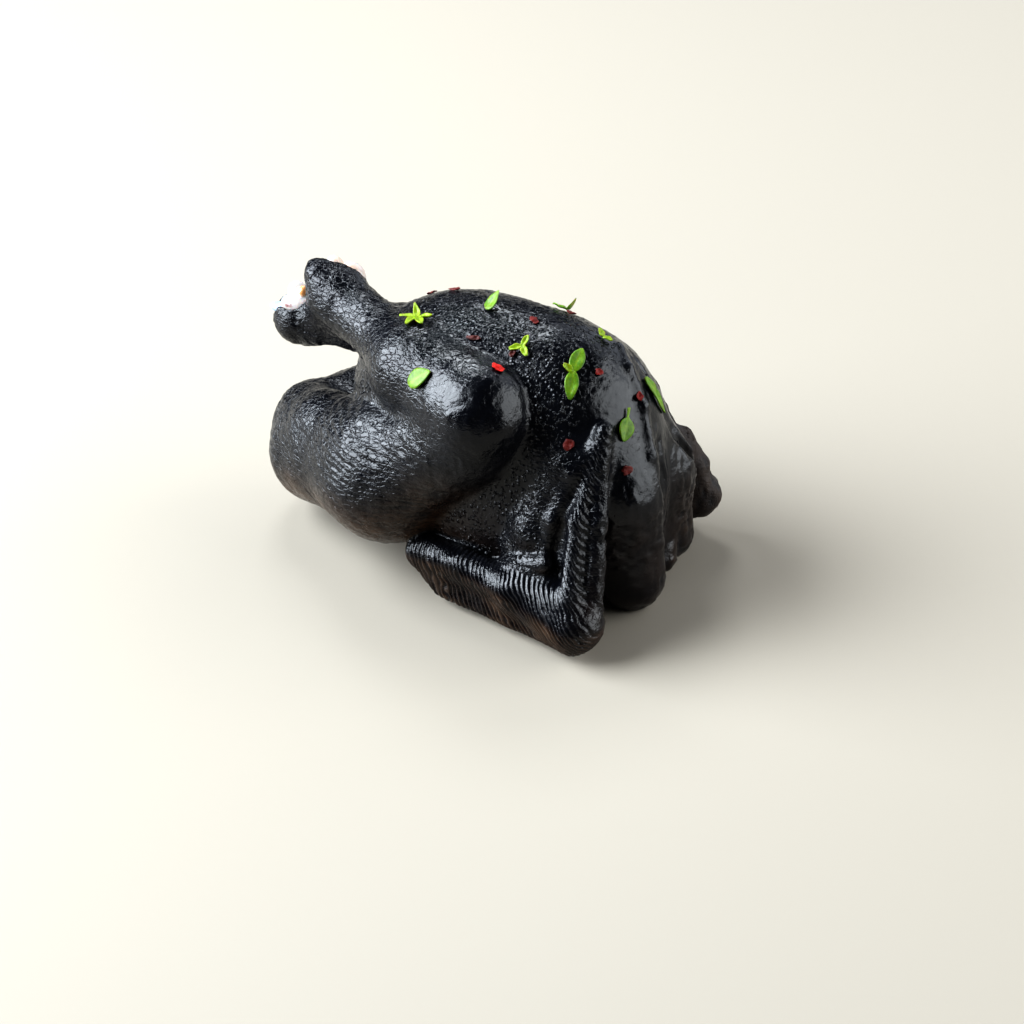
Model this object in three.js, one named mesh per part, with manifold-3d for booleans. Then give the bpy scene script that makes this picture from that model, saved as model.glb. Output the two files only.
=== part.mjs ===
// A whole raw black-skinned chicken, plucked and dressed, lying on its back with its breast up.
// Millimetres, +Z up. +X points to the neck end, -X to the leg ends, and -Y to the bird's left side.
// The skin is one solid, blended from rounded limbs, ellipsoids and folds of skin.
import * as THREE from "three";
import { triTable } from "three/addons/objects/MarchingCubes.js";
import Module from "manifold-3d";

const wasm = await Module();
wasm.setup();

const SKIN_CELL = 5.2;
const SEAT_GAP = 0.35;
const LEAF_THICKNESS = 0.7;
const LEAF_GAP = 0.55;
// Brings the origin under the middle of the whole bird
const CENTRE_SHIFT = [36, 2.7, 0];

const { hypot, min, max, abs, sin, cos, PI } = Math;

// Shapes are functions that tell about how far a point lies outside them

// Joins shapes, with a fillet of about the radius in the corners between them
function blend(radius, ...shapes) {
  return (x, y, z) => {
    let d = shapes[0](x, y, z);
    for (let i = 1; i < shapes.length; i++) {
      const e = shapes[i](x, y, z);
      const h = max(radius - abs(d - e), 0) / radius;
      d = min(d, e) - (h * h * radius) / 4;
    }
    return d;
  };
}

// Takes a groove or hollow out of a shape, with a soft rim
function hollow(radius, shape, tool) {
  return (x, y, z) => {
    const d = shape(x, y, z);
    const e = -tool(x, y, z);
    const h = max(radius - abs(d - e), 0) / radius;
    return max(d, e) + (h * h * radius) / 4;
  };
}

// pitch turns the ellipsoid about the Y axis, in degrees
function ellipsoid([cx, cy, cz], [rx, ry, rz], pitch = 0) {
  const c = cos((pitch * PI) / 180);
  const s = sin((pitch * PI) / 180);
  return (px, py, pz) => {
    const x = (px - cx) * c - (pz - cz) * s;
    const y = py - cy;
    const z = (px - cx) * s + (pz - cz) * c;
    const k0 = hypot(x / rx, y / ry, z / rz);
    const k1 = hypot(x / (rx * rx), y / (ry * ry), z / (rz * rz));
    return k1 < 1e-9 ? -min(rx, ry, rz) : (k0 * (k0 - 1)) / k1;
  };
}

// A round limb through stations, each a centre and a radius
function limb(radius, ...stations) {
  const parts = [];
  for (let i = 1; i < stations.length; i++) {
    const [ax, ay, az, ar] = stations[i - 1];
    const [bx, by, bz, br] = stations[i];
    const dx = bx - ax;
    const dy = by - ay;
    const dz = bz - az;
    const length2 = dx * dx + dy * dy + dz * dz;
    parts.push((px, py, pz) => {
      const x = px - ax;
      const y = py - ay;
      const z = pz - az;
      const t = min(max((x * dx + y * dy + z * dz) / length2, 0), 1);
      return hypot(x - t * dx, y - t * dy, z - t * dz) - (ar + (br - ar) * t);
    });
  }
  return blend(radius, ...parts);
}

// A flat piece of skin with round edges, through three or four corners
function web(thickness, ...corners) {
  const [a, b, c, d] = corners.map((corner) => new THREE.Vector3(...corner));
  const triangles = [new THREE.Triangle(a, b, c)];
  if (d) triangles.push(new THREE.Triangle(a, c, d));
  const point = new THREE.Vector3();
  const nearest = new THREE.Vector3();
  return (x, y, z) => {
    point.set(x, y, z);
    let distance = Infinity;
    for (const triangle of triangles) {
      triangle.closestPointToPoint(point, nearest);
      distance = min(distance, nearest.distanceTo(point));
    }
    return distance - thickness / 2;
  };
}

// Breast, back and neck end
const breast = blend(20,
  ellipsoid([-22, 0, 66], [66, 42, 51], 3),
  ellipsoid([12, 1, 58], [38, 37, 51], 7),
  ellipsoid([-12, 0, 28], [60, 38, 31]),
);
const neckFolds = blend(3,
  limb(14, [22, -8, 86, 15], [41, -9, 52, 17], [45.5, -8, 12, 14.5]),
  limb(14, [20, 18, 80, 15], [41, 23, 46, 12.5], [43.5, 24, 15, 11.5]),
  limb(14, [16, 34, 66, 10], [30, 41, 40, 10], [32, 38, 12, 10]),
  limb(8, [41, 20, 30, 9], [48.5, 12, 11, 6.5]),
);
// A thin fold runs down the neck end, with a deep valley behind it and a crease along the far wing
const neckRidge = limb(3, [30, 14, 103.5, 1.5], [37.5, 8, 99, 2], [47.5, 2.5, 87, 2.2],
  [54.5, -4, 69.5, 2.4], [57.3, -7.5, 52, 2.3], [57.3, -5.5, 30, 2.3], [57.1, -5, 14, 2]);
const neckValley = limb(6, [54, 6, 70, 2], [60, 1.5, 56, 4.5], [62, 3, 40, 5.5], [60, 6, 20, 4.5]);
const farCrease = limb(3, [32, 21, 101, 1], [44, 18, 84, 2], [50, 24, 66, 2.6], [53, 31, 48, 3]);
const torso = hollow(3, blend(3, blend(10, breast, neckFolds), neckRidge), neckValley);

// Legs: the drumsticks point up and back, and the thighs run back along the sides to the tail
const nearLeg = blend(4,
  blend(7,
    limb(8, [-5, -36, 89, 21.5], [-43, -24.5, 93.5, 18.2], [-76, -8, 96, 10.5],
      [-89, -3, 97.5, 10.4], [-99.5, 1, 100.5, 12.8]),
    limb(4, [-101, 0, 102, 11], [-107.5, -1, 110, 6.5]),
  ),
  blend(10,
    limb(16, [-10, -36, 78, 21], [-56, -30, 44, 26], [-106, -10, 30, 23]),
    limb(8, [-58, -33, 58, 16], [-96, -18, 48, 13], [-115, -4, 42, 14]),
  ),
  limb(4, [-73, -13, 82, 3], [-50, -32, 74, 5]),
);
const farLeg = blend(7,
  limb(8, [-14, 32, 78, 20], [-52, 23, 82, 17], [-92, 8, 82.5, 11], [-121, 2, 84, 12]),
  limb(16, [-14, 32, 74, 20], [-58, 28, 45, 25], [-88, 20, 38, 20.5], [-108, 12, 36, 18]),
);
const tail = limb(4, [-100, 2, 30, 20], [-112, 2, 24, 20]);

// Near wing: a web of skin hangs from an apex high on the breast and carries three ridges
const nearApex = [44, -21, 86];
const nearWrist = [48, -54, 14];
const nearWing = blend(3,
  limb(4, [30, -22, 70, 15], [20, -35, 42, 12], [14, -36, 30, 10]),
  limb(4, [14, -38, 32, 9], [...nearWrist, 10]),
  web(7, [41, -18, 81], [32.5, -34, 58], [41, -37, 54]),
  web(7, [32.5, -34, 58], [28.5, -39, 38], [45, -50, 16], [41, -37, 54]),
  web(7, [41, -18, 81], [41, -38, 54], [46, -34.5, 54]),
  web(7, [41, -38, 54], [45, -51.5, 16], [50, -50.5, 16], [46, -34.5, 54]),
  limb(3, [...nearApex, 2.8], [37, -33, 71, 3], [31, -41, 52, 3], [29, -44, 38, 3]),
  limb(3, [...nearApex, 2.8], [43, -41, 55, 4], [46, -52, 28, 5], [...nearWrist, 9]),
  limb(3, [...nearApex, 2.8], [49, -36, 55, 4], [54, -51, 16, 5]),
  limb(3, [8, -46.5, 26.5, 2.5], [18, -47.5, 30.5, 4.6], [31, -48, 35, 4]),
);
// The hand of the wing stands on edge along the ground and points back to the tail
const nearHand = blend(4,
  web(9, [-22, -46, 7], [-34.5, -44, 18], [46, -55, 24], [48, -57, 7]),
  web(9, [-34.5, -44, 18], [-31, -43, 23], [46, -54, 25]),
  limb(5, [...nearWrist, 11], [18, -51, 21, 9], [-10, -47.5, 22, 5.5], [-34, -44, 20, 4.5]),
);
const farWing = blend(4,
  limb(4, [22, 30, 68, 13], [10, 40, 38, 12]),
  limb(6, [10, 42, 36, 10], [42, 50, 19, 10]),
  web(7, [33, 28, 74], [14, 40, 36], [43, 49, 20]),
  limb(4, [22, 28, 92, 3.5], [29.5, 33, 74.5, 5], [35.5, 42, 48, 5.5], [46, 50, 22, 7]),
  limb(3, [44.5, 49, 36, 4.5], [40.5, 47.5, 43, 3.8], [39.5, 48.5, 50.5, 1.5]),
  web(9, [-22, 48, 5], [-33, 47, 20], [38, 52, 22], [34, 54, 6]),
);

const vent = ellipsoid([-95, 3, 66.5], [19, 9, 12], 8);
const nearJointCup = ellipsoid([-102.5, 18, 114], [12, 8, 8], 8);
const farJointCup = ellipsoid([-122, 3.5, 98.5], [9.5, 9.5, 9], -10);
const whole = blend(3, torso, blend(9, nearLeg, farLeg, tail), nearWing, nearHand, farWing);
const bird = hollow(2,
  hollow(6, whole, vent),
  (x, y, z) => min(nearJointCup(x, y, z), farJointCup(x, y, z), farCrease(x, y, z)),
);

function gradient(shape, p) {
  const step = 0.05;
  const g = new THREE.Vector3(
    shape(p.x + step, p.y, p.z) - shape(p.x - step, p.y, p.z),
    shape(p.x, p.y + step, p.z) - shape(p.x, p.y - step, p.z),
    shape(p.x, p.y, p.z + step) - shape(p.x, p.y, p.z - step),
  );
  return g.divideScalar(2 * step);
}

// Moves a point to the surface of the shape, or to a height above it
function toSurface(shape, p, height = 0) {
  for (let i = 0; i < 6; i++) {
    const g = gradient(shape, p);
    const shift = (shape(p.x, p.y, p.z) - height) / max(g.lengthSq(), 0.04);
    p.addScaledVector(g, -min(max(shift, -3), 3));
  }
  return p;
}

// Corners and edges of the unit cube, in the order of the table of triangles
const CUBE = [[0, 0, 0], [1, 0, 0], [1, 1, 0], [0, 1, 0], [0, 0, 1], [1, 0, 1], [1, 1, 1], [0, 1, 1]];
const CUBE_EDGES = [
  [0, 1], [1, 2], [2, 3], [3, 0], [4, 5], [5, 6], [6, 7], [7, 4], [0, 4], [1, 5], [2, 6], [3, 7],
];

// Turns a shape within a box into triangles of about the cell's size
function polygonise(shape, low, high, cell) {
  const count = low.map((value, axis) => Math.ceil((high[axis] - value) / cell) + 1);
  const index = (i, j, k) => (k * count[1] + j) * count[0] + i;
  const values = new Float64Array(count[0] * count[1] * count[2]);
  for (let k = 0; k < count[2]; k++) {
    for (let j = 0; j < count[1]; j++) {
      for (let i = 0; i < count[0]; i++) {
        values[index(i, j, k)] = shape(low[0] + i * cell, low[1] + j * cell, low[2] + k * cell);
      }
    }
  }
  const points = [];
  const known = new Map();
  const pointOn = (i, j, k, edge) => {
    const [a, b] = CUBE_EDGES[edge].map((corner) => CUBE[corner]);
    const ia = index(i + a[0], j + a[1], k + a[2]);
    const ib = index(i + b[0], j + b[1], k + b[2]);
    const key = min(ia, ib) * values.length + max(ia, ib);
    if (!known.has(key)) {
      const t = min(max(values[ia] / (values[ia] - values[ib]), 0.1), 0.9);
      const place = [i, j, k].map((n, axis) => low[axis] + (n + a[axis] + (b[axis] - a[axis]) * t) * cell);
      known.set(key, points.length);
      points.push(new THREE.Vector3(...place));
    }
    return known.get(key);
  };
  const faces = [];
  for (let k = 0; k < count[2] - 1; k++) {
    for (let j = 0; j < count[1] - 1; j++) {
      for (let i = 0; i < count[0] - 1; i++) {
        let kind = 0;
        CUBE.forEach(([a, b, c], corner) => {
          if (values[index(i + a, j + b, k + c)] < 0) kind |= 1 << corner;
        });
        for (let n = kind * 16; triTable[n] !== -1; n += 3) {
          const edges = [triTable[n], triTable[n + 2], triTable[n + 1]];
          faces.push(edges.map((edge) => pointOn(i, j, k, edge)));
        }
      }
    }
  }
  return { points, faces };
}

// Evens out the triangles and keeps their corners on the surface
function relax(shape, { points, faces }, rounds) {
  const around = points.map(() => new Set());
  for (const [a, b, c] of faces) {
    around[a].add(b).add(c);
    around[b].add(a).add(c);
    around[c].add(a).add(b);
  }
  for (let round = 0; round < rounds; round++) {
    const centres = around.map((near) => {
      const centre = new THREE.Vector3();
      near.forEach((other) => centre.add(points[other]));
      return centre.divideScalar(near.size);
    });
    points.forEach((point, i) => {
      const normal = gradient(shape, point).normalize();
      const shift = centres[i].sub(point);
      shift.addScaledVector(normal, -shift.dot(normal));
      toSurface(shape, point.addScaledVector(shift, 0.6));
    });
  }
}

function solid({ points, faces }) {
  const mesh = new wasm.Mesh({
    numProp: 3,
    vertProperties: new Float32Array(points.flatMap((point) => point.toArray())),
    triVerts: new Uint32Array(faces.flat()),
  });
  return new wasm.Manifold(mesh);
}

// A round solid with its corners at the given radii
function ball(centre, radii, grow = 0, detail = 2, jitter = () => 1) {
  const round = new THREE.IcosahedronGeometry(1, detail).attributes.position;
  const points = [];
  const faces = [];
  const known = new Map();
  for (let i = 0; i < round.count; i++) {
    const place = [round.getX(i), round.getY(i), round.getZ(i)];
    const key = place.map((value) => value.toFixed(4)).join();
    if (!known.has(key)) {
      const scale = jitter();
      known.set(key, points.length);
      points.push(new THREE.Vector3(...place.map((value, k) => value * (radii[k] + grow) * scale)));
    }
    if (i % 3 === 0) faces.push([]);
    faces.at(-1).push(known.get(key));
  }
  points.forEach((point) => point.add(new THREE.Vector3(...centre)));
  return { points, faces };
}

// Bone ends, each from a list of balls; grown by the gap they also cut their own seats in the skin
const NEAR_JOINT = [
  [[-107, 8, 108.5], [5, 5, 5]],
  [[-99, 9, 105], [7, 6.5, 7]],
];
const FAR_JOINT = [
  [[-121.5, 0, 91.5], [7, 5.5, 4]],
  [[-125, 6, 94], [4.2, 4, 4.2]],
  [[-120, 3.5, 94.5], [2.8, 3, 4]],
  [[-128.5, -2, 89], [5, 3, 2.2]],
];
function joint(balls, grow) {
  const detail = balls.length > 1 ? 1 : 2;
  const solids = balls.map(([centre, radii]) => solid(ball(centre, radii, grow, detail)));
  return solids.reduce((whole, next) => whole.add(next));
}

function seeded(seed) {
  let state = seed;
  return () => {
    state = (state * 1664525 + 1013904223) % 4294967296;
    return state / 4294967296;
  };
}

// Chilli flakes: a point on the skin, length, width and turn in degrees
const FLAKES = [
  [[-60, 12, 108], 5, 3.5, 20],
  [[-46, 9, 113], 6, 3.5, 0],
  [[-18, -19, 111], 7.5, 2.5, 15],
  [[2, -32, 109], 7, 4.6, 10],
  [[0, -2, 116], 5.5, 4, -20],
  [[5, 18, 111], 5, 5, 60],
  [[1, -20, 110], 5, 3, 80],
  [[34, -8, 104], 4, 3.5, 30],
  [[33, -31, 82], 6, 5.5, 70],
  [[46, 2, 91], 4.5, 3.5, -40],
  [[52, -18, 69], 6, 4.5, 70],
];
function flake([at, length, width, turn], random) {
  const centre = toSurface(bird, new THREE.Vector3(...at), 0.2);
  const up = gradient(bird, centre).normalize();
  const along = new THREE.Vector3(cos((turn * PI) / 180), sin((turn * PI) / 180), 0);
  along.addScaledVector(up, -along.dot(up)).normalize();
  const frame = new THREE.Matrix4().makeBasis(along, up.clone().cross(along), up).setPosition(centre);
  const flat = ball([0, 0, 0], [length / 2, width / 2, 0.9], 0, 0, () => 0.8 + 0.35 * random());
  flat.points.forEach((point) => point.applyMatrix4(frame));
  return solid(flat);
}

// A leaf lies along the skin from its base to its tip, and rises off it by the lift
function leaf(base, tip, width, lift = 0, stalk = 0, steps = 6) {
  const start = toSurface(bird, new THREE.Vector3(...base));
  const up = gradient(bird, start).normalize();
  const along = new THREE.Vector3(...tip).sub(start);
  const length = along.length();
  along.addScaledVector(up, -along.dot(up)).normalize();
  const across = up.clone().cross(along);
  const rows = steps > 4 ? [-1, -0.5, 0, 0.5, 1] : [-1, 0, 1];
  const points = [];
  for (let i = 0; i <= steps; i++) {
    const u = i / steps;
    const blade = max((u - stalk) / (1 - stalk), 0);
    const half = 0.45 + (width / 2 - 0.45) * sin(PI * blade ** 0.8) ** 0.8;
    const reach = u * (length - lift * 0.4);
    for (const v of rows) {
      const place = start.clone().addScaledVector(along, reach).addScaledVector(across, half * v);
      const wave = 0.5 * abs(v) * sin(PI * blade) + 0.15 * sin(9 * u + 2 * v) + 0.15;
      const height = LEAF_GAP + lift * u * u + wave;
      points.push([toSurface(bird, place, height), toSurface(bird, place.clone(), height + LEAF_THICKNESS)]);
    }
  }
  const flat = points.flat();
  const at = (i, j, side) => 2 * (i * rows.length + j) + side;
  const faces = [];
  const quad = (a, b, c, d) => faces.push([a, b, c], [a, c, d]);
  const last = rows.length - 1;
  for (let i = 0; i < steps; i++) {
    for (let j = 0; j < last; j++) {
      quad(at(i, j, 1), at(i + 1, j, 1), at(i + 1, j + 1, 1), at(i, j + 1, 1));
      quad(at(i, j, 0), at(i, j + 1, 0), at(i + 1, j + 1, 0), at(i + 1, j, 0));
    }
    quad(at(i, 0, 0), at(i + 1, 0, 0), at(i + 1, 0, 1), at(i, 0, 1));
    quad(at(i, last, 1), at(i + 1, last, 1), at(i + 1, last, 0), at(i, last, 0));
  }
  for (let j = 0; j < last; j++) {
    quad(at(0, j, 0), at(0, j, 1), at(0, j + 1, 1), at(0, j + 1, 0));
    quad(at(steps, j, 0), at(steps, j + 1, 0), at(steps, j + 1, 1), at(steps, j, 1));
  }
  return solid({ points: flat, faces });
}

const leaflet = (base, tip, width, lift) => leaf(base, tip, width, lift, 0, 4);

const LEAVES = {
  leaf_breast_top: [leaf([-21.5, -5, 116], [-17, 2, 116], 6, 6)],
  sprig_drumstick: [
    leaflet([-46, -19, 111], [-53, -21, 111], 3.4, 1),
    leaflet([-46, -19, 111], [-40, -15, 112], 3.4, 1),
    leaflet([-46, -19, 111], [-50, -12, 111], 3.2, 4),
    leaflet([-46, -19, 111], [-45, -27, 109], 3.4, 0.5),
    leaflet([-46, -19, 111], [-40, -25, 110], 3.6, 0.5),
  ],
  leaf_drumstick: [leaf([-31, -47, 100], [-22, -43, 107], 8)],
  sprig_breast_side: [
    leaflet([3.5, -17, 113], [-0.5, -20, 112], 2.6, 0.6),
    leaflet([3.5, -17, 113], [4, -12, 114], 2.6, 1.5),
    leaflet([3.5, -17, 113], [7.5, -20, 111], 2.8, 0.6),
  ],
  leaf_pair_breast: [
    leaflet([1, 20, 110], [-6, 20, 110], 4, 0.5),
    leaflet([1, 20, 110], [5, 21, 110], 4.6, 5),
  ],
  sprig_breast_front: [
    leaflet([25.5, 9, 110], [22, 11.5, 111], 2.6, 1),
    leaflet([25.5, 9, 110], [29, 10, 108], 2.6, 0.8),
  ],
  sprig_crop: [
    leaf([26.5, -15.5, 106], [24.5, -5, 111], 6),
    leaf([26.5, -15.5, 106], [30, -24, 98], 5.6),
    leaflet([26.5, -15.5, 106], [22, -16, 108], 2.6, 1.5),
  ],
  leaf_crop: [leaf([46, -6, 90], [48, -15, 79.5], 6.8, 0, 0.3)],
  leaf_neck: [leaf([43, 13, 94], [50, 19, 77], 7)],
};

// The ground, as a slab that cuts the skin's flat resting spots
function slab(low, high) {
  const points = [];
  for (const z of [low[2], high[2]]) {
    points.push(new THREE.Vector3(low[0], low[1], z));
    points.push(new THREE.Vector3(high[0], low[1], z));
    points.push(new THREE.Vector3(high[0], high[1], z));
    points.push(new THREE.Vector3(low[0], high[1], z));
  }
  const faces = [[0, 2, 1], [0, 3, 2], [4, 5, 6], [4, 6, 7]];
  for (let i = 0; i < 4; i++) {
    const j = (i + 1) % 4;
    faces.push([i, j, j + 4], [i, j + 4, i + 4]);
  }
  return solid({ points, faces });
}

const random = seeded(7);
const skinMesh = polygonise(bird, [-145, -80, -12], [75, 80, 130], SKIN_CELL);
relax(bird, skinMesh, 4);
let skin = solid(skinMesh).subtract(slab([-200, -200, -40], [200, 200, 0]));
for (const one of FLAKES) skin = skin.add(flake(one, random));
skin = skin.subtract(joint(NEAR_JOINT, SEAT_GAP)).subtract(joint(FAR_JOINT, SEAT_GAP));

const skinMaterial = new THREE.MeshStandardMaterial({ color: 0x1b1b20, roughness: 0.3, metalness: 0 });
const jointMaterial = new THREE.MeshStandardMaterial({ color: 0xe8e4dc, roughness: 0.35, metalness: 0 });
const leafMaterial = new THREE.MeshStandardMaterial({ color: 0x8cb83c, roughness: 0.45, metalness: 0 });

const chicken = new THREE.Group();
function addMesh(name, body, material) {
  const { vertProperties, triVerts } = body.translate(CENTRE_SHIFT).getMesh();
  const geometry = new THREE.BufferGeometry();
  geometry.setAttribute("position", new THREE.Float32BufferAttribute(vertProperties, 3));
  geometry.setIndex([...triVerts]);
  const mesh = new THREE.Mesh(geometry, material);
  mesh.name = name;
  chicken.add(mesh);
}
addMesh("chicken", skin, skinMaterial);
addMesh("joint_near", joint(NEAR_JOINT, 0), jointMaterial);
addMesh("joint_far", joint(FAR_JOINT, 0), jointMaterial);
for (const [name, parts] of Object.entries(LEAVES)) {
  addMesh(name, parts.reduce((whole, next) => whole.add(next)), leafMaterial);
}
export default chicken;
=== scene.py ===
import math

import bpy
import numpy as np
from mathutils import Matrix, Vector


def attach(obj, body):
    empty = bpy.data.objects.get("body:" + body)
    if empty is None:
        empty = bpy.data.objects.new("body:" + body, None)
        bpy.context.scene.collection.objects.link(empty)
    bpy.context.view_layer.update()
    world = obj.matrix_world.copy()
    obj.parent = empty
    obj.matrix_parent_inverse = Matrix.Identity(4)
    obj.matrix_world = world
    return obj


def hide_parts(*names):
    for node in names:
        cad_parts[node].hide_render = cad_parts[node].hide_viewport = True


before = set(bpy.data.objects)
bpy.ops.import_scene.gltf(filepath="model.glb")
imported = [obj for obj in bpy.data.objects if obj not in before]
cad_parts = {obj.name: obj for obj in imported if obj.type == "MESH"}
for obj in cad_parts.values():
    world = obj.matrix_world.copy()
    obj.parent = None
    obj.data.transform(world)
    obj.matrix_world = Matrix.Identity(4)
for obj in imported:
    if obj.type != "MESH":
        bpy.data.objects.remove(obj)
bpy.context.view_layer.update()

# A whole raw black-skinned chicken, plucked and dressed, lying on its back with its breast up.
# +X points to the neck end, -X to the leg ends, and -Y to the bird's left side, which is the near one.
# Lengths are in millimetres until a mesh is made. The shapes' own origin lies CENTRE_SHIFT from the frame's.
MM = 0.001
CENTRE_SHIFT = np.array([36, 2.7, 0])
SEAT_GAP = 0.35
LEAF_GAP = 0.4
LEAF_THICKNESS = 0.5
FLAKE_HEIGHT = 0.35
FLAKE_THICKNESS = 0.6

# The skin's mesh: the box that holds it, the first grid's cell, and the lengths of its edges
SKIN_LOW = [-142, -74, -8]
SKIN_HIGH = [70, 72, 124]
SKIN_CELL = 2.0
OPEN_EDGE = 1.15
HIDDEN_EDGE = 2.15
WING_EDGE = 0.58

# The photograph's camera: degrees, millimetres, and pixels of its 1024 by 1024 frame
AZIMUTH = 34.7
ELEVATION = 31.2
ROLL = 3.0
DISTANCE = 1619
FOCAL_PIXELS = 3886
FRAME_PIXELS = 1024
ORIGIN_PIXEL = (548.5, 562.7)
SENSOR = 36


# Shapes are functions that tell about how far each of many points lies outside them

def blend(radius, *shapes):
    """Joins shapes, with a fillet of about the radius in the corners between them"""
    def joined(p):
        d = shapes[0](p)
        for shape in shapes[1:]:
            e = shape(p)
            h = np.maximum(radius - np.abs(d - e), 0) / radius
            d = np.minimum(d, e) - h * h * radius / 4
        return d
    return joined


def hollow(radius, shape, tool):
    """Takes a groove or hollow out of a shape, with a soft rim"""
    def cut(p):
        d = shape(p)
        e = -tool(p)
        h = np.maximum(radius - np.abs(d - e), 0) / radius
        return np.maximum(d, e) + h * h * radius / 4
    return cut


def ellipsoid(centre, radii, pitch=0):
    """pitch turns the ellipsoid about the Y axis, in degrees"""
    c = math.cos(math.radians(pitch))
    s = math.sin(math.radians(pitch))
    turn = np.array([[c, 0, -s], [0, 1, 0], [s, 0, c]])
    radii = np.array(radii, float)

    def distance(p):
        q = (p - centre) @ turn.T
        k0 = np.linalg.norm(q / radii, axis=1)
        k1 = np.linalg.norm(q / radii ** 2, axis=1)
        return k0 * (k0 - 1) / np.maximum(k1, 1e-9)
    return distance


def limb(radius, *stations):
    """A round limb through stations, each a centre and a radius"""
    def part(start, end):
        a = np.array(start[:3], float)
        along = np.array(end[:3], float) - a

        def distance(p):
            q = p - a
            t = np.clip(q @ along / (along @ along), 0, 1)
            return np.linalg.norm(q - t[:, None] * along, axis=1) - (start[3] + (end[3] - start[3]) * t)
        return distance
    return blend(radius, *[part(a, b) for a, b in zip(stations, stations[1:])])


def triangle_distance(a, b, c):
    """The distance of points from a flat triangle"""
    corners = [np.array(corner, float) for corner in (a, b, c)]
    edges = [corners[(k + 1) % 3] - corners[k] for k in range(3)]
    normal = np.cross(edges[0], edges[1])
    up = normal / np.linalg.norm(normal)

    def distance(p):
        outside = np.zeros(len(p), bool)
        nearest = np.full(len(p), np.inf)
        for corner, edge in zip(corners, edges):
            q = p - corner
            outside |= q @ np.cross(up, edge) < 0
            t = np.clip(q @ edge / (edge @ edge), 0, 1)
            nearest = np.minimum(nearest, np.linalg.norm(q - t[:, None] * edge, axis=1))
        return np.where(outside, nearest, np.abs((p - corners[0]) @ up))
    return distance


def web(thickness, *corners):
    """A flat piece of skin with round edges, through three or four corners"""
    flats = [triangle_distance(*corners[:3])]
    if len(corners) == 4:
        flats.append(triangle_distance(corners[0], corners[2], corners[3]))
    return lambda p: np.min([flat(p) for flat in flats], axis=0) - thickness / 2


# Breast, back and neck end
breast = blend(
    20,
    ellipsoid([-22, 0, 66], [66, 42, 51], 3),
    ellipsoid([12, 1, 58], [38, 37, 51], 7),
    ellipsoid([-12, 0, 28], [60, 38, 31]),
)
neck_folds = blend(
    3,
    limb(14, [22, -8, 86, 15], [41, -9, 52, 17], [45.5, -8, 12, 14.5]),
    limb(14, [20, 18, 80, 15], [41, 23, 46, 12.5], [43.5, 24, 15, 11.5]),
    limb(14, [16, 34, 66, 10], [30, 41, 40, 10], [32, 38, 12, 10]),
    limb(8, [41, 20, 30, 9], [48.5, 12, 11, 6.5]),
)
# A thin fold runs down the neck end, with a deep valley behind it and a crease along the far wing
neck_ridge = limb(
    3, [30, 14, 103.5, 1.5], [37.5, 8, 99, 2], [47.5, 2.5, 87, 2.2], [54.5, -4, 69.5, 2.4],
    [57.3, -7.5, 52, 2.3], [57.3, -5.5, 30, 2.3], [57.1, -5, 14, 2],
)
neck_valley = limb(6, [54, 6, 70, 2], [60, 1.5, 56, 4.5], [62, 3, 40, 5.5], [60, 6, 20, 4.5])
far_crease = limb(3, [32, 21, 101, 1], [44, 18, 84, 2], [50, 24, 66, 2.6], [53, 31, 48, 3])
torso = hollow(3, blend(3, blend(10, breast, neck_folds), neck_ridge), neck_valley)

# Legs: the drumsticks point up and back, and the thighs run back along the sides to the tail
near_drumstick = blend(
    7,
    limb(
        8, [-5, -36, 89, 21.5], [-43, -24.5, 93.5, 18.2], [-76, -8, 96, 10.5],
        [-89, -3, 97.5, 10.4], [-99.5, 1, 100.5, 12.8],
    ),
    limb(4, [-101, 0, 102, 11], [-107.5, -1, 110, 6.5]),
)
near_thigh = blend(
    10,
    limb(16, [-10, -36, 78, 21], [-56, -30, 44, 26], [-106, -10, 30, 23]),
    limb(8, [-58, -33, 58, 16], [-96, -18, 48, 13], [-115, -4, 42, 14]),
)
near_leg = blend(4, near_drumstick, near_thigh, limb(4, [-73, -13, 82, 3], [-50, -32, 74, 5]))
far_drumstick = limb(8, [-14, 32, 78, 20], [-52, 23, 82, 17], [-92, 8, 82.5, 11], [-121, 2, 84, 12])
far_thigh = limb(16, [-14, 32, 74, 20], [-58, 28, 45, 25], [-88, 20, 38, 20.5], [-108, 12, 36, 18])
far_leg = blend(7, far_drumstick, far_thigh)
tail = limb(4, [-100, 2, 30, 20], [-112, 2, 24, 20])

# Near wing: a web of skin hangs from an apex high on the breast and carries three ridges
NEAR_APEX = [44, -21, 86]
NEAR_WRIST = [48, -54, 14]
middle_ridge = limb(3, [*NEAR_APEX, 2.8], [43, -41, 55, 4], [46, -52, 28, 5], [*NEAR_WRIST, 9])
front_ridge = limb(3, [*NEAR_APEX, 2.8], [49, -36, 55, 4], [54, -51, 16, 5])
thumb = limb(3, [8, -46.5, 26.5, 2.5], [18, -47.5, 30.5, 4.6], [31, -48, 35, 4])
near_wing = blend(
    3,
    limb(4, [30, -22, 70, 15], [20, -35, 42, 12], [14, -36, 30, 10]),
    limb(4, [14, -38, 32, 9], [*NEAR_WRIST, 10]),
    web(7, [41, -18, 81], [32.5, -34, 58], [41, -37, 54]),
    web(7, [32.5, -34, 58], [28.5, -39, 38], [45, -50, 16], [41, -37, 54]),
    web(7, [41, -18, 81], [41, -38, 54], [46, -34.5, 54]),
    web(7, [41, -38, 54], [45, -51.5, 16], [50, -50.5, 16], [46, -34.5, 54]),
    limb(3, [*NEAR_APEX, 2.8], [37, -33, 71, 3], [31, -41, 52, 3], [29, -44, 38, 3]),
    middle_ridge,
    front_ridge,
    thumb,
)
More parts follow.
